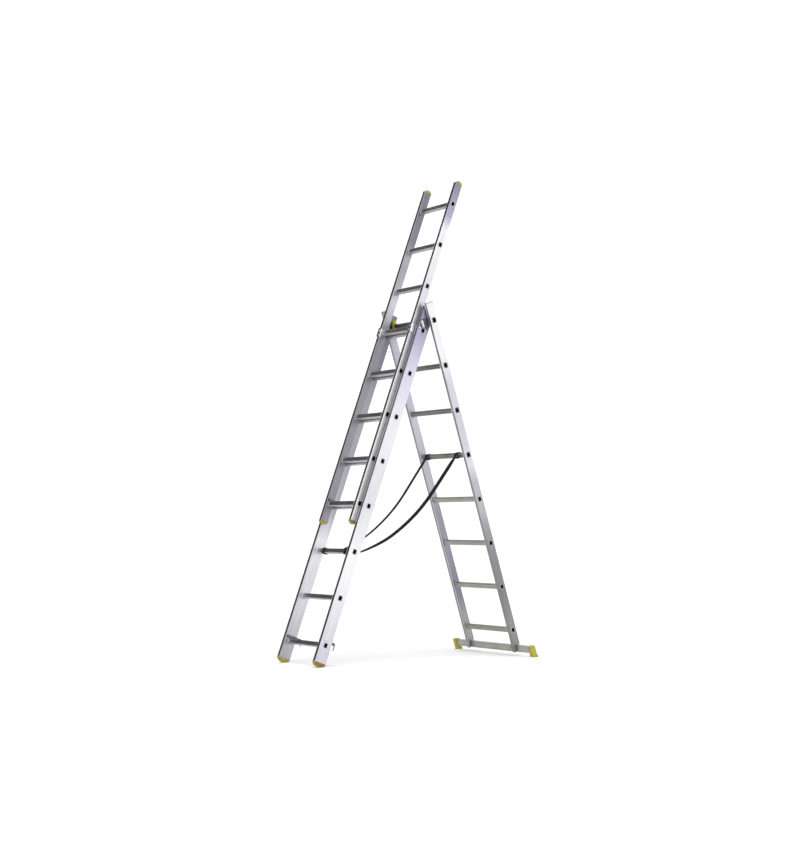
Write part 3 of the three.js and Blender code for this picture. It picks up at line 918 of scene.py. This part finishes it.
rungs(BASE, RUNG)
rungs(FLY, RUNG)
rungs(REAR, REAR_RUNG)


# ---------- shoes and caps ----------
def moulding(outline, x0, x1, rim=2.6, sink=1.4, soft=1.0):
    """A moulded block with softened edges and a sunk panel in its outer face."""
    def ring(inset, x):
        return [(x, a, b) for a, b in (offset(outline, -inset) if inset else outline)]

    slight = soft * 0.3
    shape = Shape().rings([
        ring(soft, x0), ring(slight, x0 + slight), ring(0, x0 + soft), ring(0, x1 - soft),
        ring(slight, x1 - slight), ring(soft, x1), ring(rim - 0.4, x1), ring(rim, x1 - 0.4),
        ring(rim + 0.5, x1 - sink),
    ])
    shape.paint[-1] = 1
    return shape


def tread_arc(centre, radius, reach, count, depth):
    """A sole's arc from front to rear, cut by grooves."""
    points = []
    for i in range(count):
        for share, sink in ((0.08, 0), (0.62, 0), (0.70, 1), (0.96, 1)):
            angle = -reach + 2 * reach * (i + share) / count
            r = radius - sink * depth
            points.append((r * math.sin(angle), centre - r * math.cos(angle)))
    return points


def shoe(section, radius, centre, count):
    """A rubber shoe with an arched, grooved sole about a centre on the stile's middle line."""
    half, top = section.half + 1, section.bottom - GAP
    reach = math.asin(half / radius)
    outline = tread_arc(centre, radius, reach, count, 1.5)
    outline += [(half, top - 1), (half - 1, top), (-half + 1, top), (-half, top - 1)]
    return moulding(outline, section.inner - 1, section.outer + 1)


def shoes(section, node, radius, centre, count):
    shape = shoe(section, radius, centre, count)
    on_both_sides(section, node, "olive_plastic", ("moulding", shape, (OLIVE, AMBER)))


shoes(BASE, "base_foot", radius=48.3, centre=-78.5, count=11)
shoes(FLY, "fly_foot", radius=30, centre=-97, count=7)


def fly_caps():
    """Domed caps on the fly's top ends."""
    low, high = FLY.box("fly_top_cap_right")
    half, bottom = high.y, FLY.top + GAP
    rise = high.z - bottom
    edge = 4.0
    radius = (half ** 2 + (rise - edge) ** 2) / (2 * (rise - edge))
    reach = math.degrees(math.asin(half / radius))
    outline = [(-half + 1, bottom), (half - 1, bottom), (half, bottom + 1)]
    outline += arc(0, high.z - radius, radius, 90 - reach, 90 + reach, 20)
    outline.append((-half, bottom + 1))
    shape = moulding(outline, FLY.inner - 1, FLY.outer + 1, rim=2.2, sink=0.8)
    on_both_sides(FLY, "fly_top_cap", "olive_plastic", ("moulding", shape, (OLIVE, OLIVE)))


def lids(section, material, slot):
    """Thin end caps with a raised rim round a shallow tray."""
    node = f"{section.name}_top_cap"
    low, high = section.box(node + "_right")
    z = section.top + GAP
    outline = rounded(rectangle(low.x, low.y, high.x, high.y), 3.4, 5)

    def ring(inset, level):
        return [(x, y, level) for x, y in offset(outline, -inset)]

    shape = Shape().rings([ring(0.3, z), ring(0, z + 0.5), ring(0, z + 2.5), ring(0.4, z + 3.2),
                           ring(1.1, z + 3.5), ring(2.4, z + 3.5), ring(3, z + 2.3), ring(3.6, z + 2.1)])
    on_both_sides(section, node, slot, ("moulding", shape, (material,)))


fly_caps()
lids(BASE, GREY, "grey_plastic")
lids(REAR, OLIVE, "olive_plastic")


# ---------- hooks, brackets and hinges ----------
SHEET = 3  # the thickness of bent steel


def hooks(section, front, inside, back, under, over, tip):
    """A steel hook on each stile's inner face. It runs from front to back between the heights under and over,
    and its tip drops down between inside and back."""
    low, high = section.box(f"{section.name}_hook_right")
    outline = rounded([
        (front, under, 3), (inside, under, 2), (inside, tip, 1), (back, tip, 2.2), (back, over - 8, 4),
        (back - 8, over, 4), (front, over, 3),
    ], 2)
    shape = Shape().prism(outline, low.x, high.x)
    middle = (under + over) / 2
    rivets = Shape()
    for y in (front + 9, front + 26):
        rivets.button((low.x, y, middle), (-1, 0, 0), 3.6, 2.0)
        rivets.button((section.outer, y, middle), (1, 0, 0), 3.6, 1.6)
    for name, side in SIDES:
        node = f"{section.name}_hook_{name}"
        piece(node + "_plate", shape, section, (ZINC,), "zinc_steel", side, bevel=0.5, stands_for=[node])
        piece(node + "_rivets", rivets, section, (BAR,), "stile_aluminium", side)


hooks(BASE, -30, 71.5, 76.5, 17, 33.5, -9)
hooks(FLY, -20, 59, 64, 15.4, 30, -12)


def guide_brackets():
    """Bright plates that wrap round the fly's stiles near the top of the base section."""
    low, high = BASE.box("guide_bracket_right")
    x1, x0, y0 = high.x - SHEET / 2, low.x + SHEET / 2, low.y + SHEET / 2
    line = [(x1, high.y), (x1, y0), (x0, y0), (x0, y0 + 9.5)]
    shape = Shape().prism(strip(line, SHEET, 4.2), low.z, high.z, plan_axis)
    ribs = Shape()
    for x in (low.x + 7, low.x + 16):
        rib = rounded(rectangle(x, low.y - 0.9, x + 3.4, low.y + 0.5), 0.5)
        ribs.prism(rib, low.z + 3, high.z - 3, plan_axis)
    for y in (low.y + 12, low.y + 26):
        rib = rounded(rectangle(high.x - 0.5, y, high.x + 0.9, y + 4), 0.5)
        ribs.prism(rib, low.z + 3, high.z - 3, plan_axis)
    bolts = Shape()
    for level in (0.25, 0.75):
        z = low.z + (high.z - low.z) * level
        bolts.button((low.x + SHEET + 14, low.y, z), (0, -1, 0), 4.0, 1.8)
        bolts.button((BASE.outer, -26, z), (1, 0, 0), 4.4, 2.0)
    on_both_sides(BASE, "guide_bracket", "bright_steel", ("plate", shape, (CHROME,), 0.6),
                  ("ribs", ribs, (DARK_STEEL,)), ("bolts", bolts, (CHROME,)))


def hinge_plates():
    """Plates on the base's stiles, round the fold's pins."""
    low, high = BASE.box("base_hinge_plate_right")
    reach = SWEEP - 7
    outline = rounded([(low.y, low.z), (reach, low.z), (reach, HINGE)], 4)[:-4]
    outline += arc(0, HINGE, reach, 0, 90, 14)
    outline += [(low.y + 4, high.z), (low.y + 1.2, high.z - 1.2), (low.y, high.z - 4)]
    hole = arc(0, HINGE, HINGE_HOLE, 360, 15, 23)
    shape = Shape().prism(outline, low.x, high.x, holes=[hole])
    rivets = Shape()
    for y, z in ((low.y + 8, low.z + 8), (low.y + 8, high.z - 9), (reach - 8, low.z + 8)):
        rivets.button((high.x, y, z), (1, 0, 0), 3.8, 1.8)
    on_both_sides(BASE, "base_hinge_plate", "zinc_steel", ("plate", shape, (ZINC,), 0.4),
                  ("rivets", rivets, (BAR,)))


def hinge_pins():
    """Turned pins with a flat head at each end, the outer one with a centre hole."""
    low, high = BASE.box("hinge_pin_right")

    def ring(x, radius, sides=24):
        return [(x, a, b) for a, b in arc(0, HINGE, radius, 0, 360 * (sides - 1) / sides, sides - 1)]

    inner_head = [(low.x, 8), (low.x + 0.8, 9), (low.x + 5.4, 9), (low.x + 6, 8.4), (low.x + 6, 6)]
    outer_head = [(high.x - 4.5, 6), (high.x - 4.5, 9.4), (high.x - 3.9, 10), (high.x - 1.2, 10),
                  (high.x - 0.3, 9), (high.x, 7), (high.x, 3.2), (high.x - 2, 3)]
    shape = Shape().rings([ring(x, r) for x, r in inner_head + outer_head])
    on_both_sides(BASE, "hinge_pin", "zinc_steel", ("turned", shape, (ZINC,)))


def hinge_arms():
    """Steel plates on the rear stiles that carry the fold's pins, with a flange along their front edge."""
    low, high = REAR.box("rear_hinge_arm_right")
    front = low.y + 2
    web = rounded([(front, low.z, 6), (high.y, low.z, 8), (high.y, high.z, 8), (front, high.z, 6)], 6, 5)
    rung = rung_outline(0.6, REAR.top_rung)[::-1]
    pin = arc(-HINGE_AHEAD, REAR.top_rung - HINGE_BELOW, HINGE_HOLE, 360, 15, 23)
    shape = Shape().prism(web, low.x, low.x + SHEET, holes=[rung, pin])
    middle_x, middle_y = low.x + SHEET / 2, low.y + SHEET / 2
    flange = strip([(middle_x, low.y + 12), (middle_x, middle_y), (high.x, middle_y)], SHEET, 4)
    edge = Shape().prism(flange, low.z + 4, high.z - 4, plan_axis)
    rib = rounded(rectangle(low.y + 20, low.z + 40, -24, low.z + 45), 2.2)
    edge.prism(rib, low.x - 1.2, low.x + 0.5)
    bolts = Shape()
    for y, z in ((14, low.z + 8), (14, high.z - 6), (-24, high.z - 8), (-24, low.z + 8)):
        bolts.button((low.x, y, z), (-1, 0, 0), 4.2, 2.4, 6, 0.2)
    for y in (-14, 14):
        bolts.button((REAR.outer, y, low.z + 3), (1, 0, 0), 3.4, 1.6)
    on_both_sides(REAR, "rear_hinge_arm", "zinc_steel", ("web", shape, (ZINC,), 0.4),
                  ("flange", edge, (CHROME,), 0.4), ("bolts", bolts, (CHROME,)))


guide_brackets()
hinge_plates()
hinge_pins()
hinge_arms()


def rung_saddles():
    """Yellow bearings round the rear section's top rung, beside the base stiles."""
    low, high = REAR.box("rung_saddle_right")
    rung, lug, chamfer = REAR.top_rung, high.z, 4
    bottom, top = rung - RUNG_TALL - 3, rung + RUNG_TALL + 3
    deep, lug_half = high.y, 11
    rear_side = [
        (deep - chamfer, bottom), (deep, bottom + chamfer), (deep, top - chamfer), (lug_half, top),
        (lug_half, lug - chamfer), (lug_half - chamfer, lug),
    ]
    outline = rounded(rear_side + [(-y, z) for y, z in reversed(rear_side)], 1.4)
    hole = rung_outline(GAP, rung)[::-1]
    shape = Shape().prism(outline, low.x, high.x, holes=[hole])
    for x in (low.x + 4, high.x - 6):
        rib = offset(outline, 0.9)
        shape.prism(rib, x, x + 2, holes=[offset(outline, -0.6)[::-1]])
    on_both_sides(REAR, "rung_saddle", "yellow_rubber", ("moulding", shape, (YELLOW,), 0.4))


rung_saddles()


# ---------- the stabiliser ----------
def stabiliser_bar():
    """The grooved cross bar, its bolts, and the nuts that hold it to the stiles."""
    low, high = REAR.box("stabiliser_bar")
    y0, y1, z0, z1 = low.y, high.y, low.z, high.z
    corners = rectangle(y0, z0, y1, z1)
    wall = 2.4
    outline = grooved_outline(corners, ((5, y1 - y0 - 5), (6, 9, 31, 34)) * 2, wall, 1.0, 0.5)
    bore = offset(rounded(corners, wall), -wall)
    shape = Shape().prism(outline, low.x, high.x, holes=[bore[::-1]])
    piece("stabiliser_bar_extrusion", shape, REAR, (BAR,), "stile_aluminium", stands_for=["stabiliser_bar"])
    middle = (z0 + z1) / 2
    bolts, nuts = Shape(), Shape()
    for side in (-1, 1):
        for x in (REAR.inner - 12, REAR.inner - 30):
            bolts.button((side * x, y0, middle + 2), (0, -1, 0), 4.6, 3.0)
            bolts.button((side * x, y1, middle + 2), (0, 1, 0), 4.2, 3.4, 6, 0.2)
        centre = side * (REAR.inner + REAR.outer) / 2
        nuts.button((centre, -REAR.half * 0.6, middle - 2), (0, -1, 0), 6.5, 4.5, 6, 0.2)
        nuts.button((centre, y1, middle), (0, 1, 0), 6.5, 4.0, 6, 0.2)
    piece("stabiliser_bolts", bolts, REAR, (DARK_STEEL,), "zinc_steel")
    piece("stabiliser_nuts", nuts, REAR, (CHROME,), "bright_steel")


def stabiliser_feet():
    """Thick rubber shoes on the ends of the bar, with a grooved level sole."""
    low, high = REAR.box("stabiliser_foot_right")
    down = REAR.inverse.to_3x3() @ Vector((0, 0, -1))
    corner = REAR.inverse @ Vector((0, 0, 0)) / MM
    slope = -down.y / down.z
    bar_low, bar_high = REAR.box("stabiliser_bar")

    def sole(y, lift=0.0):
        return corner.z + (y - corner.y) * slope + lift

    front, back = bar_low.y - 3.8, bar_high.y + 3.8
    heel, toe, top = low.y, high.y, -94
    treads = []
    count = 6
    for i in range(count):
        for share, sink in ((0.06, 0), (0.64, 0), (0.72, 1.8), (0.94, 1.8)):
            y = heel + (toe - heel) * (i + share) / count
            treads.append((y, sole(y, sink)))
    treads[0] = (heel, sole(heel))
    treads[-1] = (toe - 2.5, sole(toe - 2.5))
    shoulder = [(top - 4, 0), (top - 1.4, 1), (top, 3.5)]
    outline = treads + [(toe - 0.6, sole(toe, 1.6)), (toe, sole(toe, 4)), (toe, sole(toe, 9))]
    outline.append((back, top - 53))
    outline += [(back - inset, z) for z, inset in shoulder]
    outline += [(front + inset, z) for z, inset in reversed(shoulder)] + [(front, top - 44)]
    middle = Vector(((front + toe) / 2, (sole(front) + top) / 2))
    half = Vector(((toe - front) / 2, (top - sole(front)) / 2))

    def ring(inset, x):
        narrow, lower = 1 - inset / half.x, 1 - inset / half.y
        points = ((Vector(point) - middle) * Vector((narrow, lower)) for point in outline)
        return [(x, middle.x + p.x, middle.y + p.y) for p in points]

    outer = Shape().rings([
        ring(1.6, low.x), ring(0.5, low.x + 0.5), ring(0, low.x + 1.6), ring(0, high.x - 2.2),
        ring(0.7, high.x - 0.7), ring(2.2, high.x), ring(3.4, high.x), ring(3.8, high.x - 1.2),
        ring(4.4, high.x - 1.4),
    ])
    pocket = rectangle(bar_low.y - GAP, bar_low.z - GAP, bar_high.y + GAP, bar_high.z + GAP)
    pocket = Shape().prism(pocket, low.x - PAST, bar_high.x + GAP)
    trim = Shape()
    rib = rounded(rectangle(front - 0.9, top - 45, front + 0.4, top - 4), 0.4)
    for x in (low.x + 3, low.x + 7):
        trim.prism(rib, x, x + 2)
    on_both_sides(REAR, "stabiliser_foot", "yellow_rubber", ("rubber", outer, (YELLOW,), 0, [pocket]),
                  ("ribs", trim, (YELLOW,), 0.3))


stabiliser_bar()
stabiliser_feet()


# ---------- floor and light ----------
def floor():
    """A wide white floor."""
    n = Surface("studio_floor")
    material = n.finish(n.fade(n.noise(3, 3), 0.3, 0.7, 0.93, 0.95), 0.9, Specular_IOR_Level=0.1)
    mesh = bpy.data.meshes.new("floor")
    reach = 40
    mesh.from_pydata([(x, y, 0) for x, y in rectangle(-reach, -reach, reach, reach)], [], [(0, 1, 2, 3)])
    mesh.materials.append(material)
    new_object("floor", mesh)


def studio_world():
    """A white backdrop. The metal mirrors two darker screens, one to the front left and one high behind."""
    world = bpy.data.worlds.new("studio")
    n = Nodes(world)
    direction = n.add("ShaderNodeTexCoord").outputs["Generated"]
    # each screen's direction, the nearness to it where it starts and where it is darkest, and its colour
    screens = (
        ((-0.72, -0.55, 0.42), 0.66, 0.86, (0.05, 0.05, 0.055)),
        ((0.60, 0.43, 0.68), 0.78, 0.97, (0.55, 0.55, 0.62)),
    )
    white = (1, 1, 1)
    colour = white
    for axis, edge, middle, shade in screens:
        dot = n.add("ShaderNodeVectorMath", operation="DOT_PRODUCT")
        dot.inputs[1].default_value = Vector(axis).normalized()
        n.link(direction, dot.inputs[0])
        screen = n.ramp(dot.outputs["Value"], [(edge, white), (middle, shade)])
        colour = n.mix(1, colour, screen, "MULTIPLY")
    camera_ray = n.add("ShaderNodeLightPath").outputs["Is Camera Ray"]
    background = n.tree.nodes["Background"].inputs
    n.link(n.mix(camera_ray, colour, white), background["Color"])
    background["Strength"].default_value = 1.15
    bpy.context.scene.world = world


def soft_sun(name, direction, spread, strength):
    """A sun as wide as spread degrees."""
    data = bpy.data.lights.new(name, "SUN")
    data.energy = strength
    data.angle = math.radians(spread)
    obj = new_object(name, data)
    obj.rotation_mode = "QUATERNION"
    obj.rotation_quaternion = Vector(direction).to_track_quat("-Z", "Y")


floor()
studio_world()
soft_sun("top_light", (-0.25, 0.25, -1), 50, 1.2)
bpy.context.scene.view_settings.view_transform = "Standard"
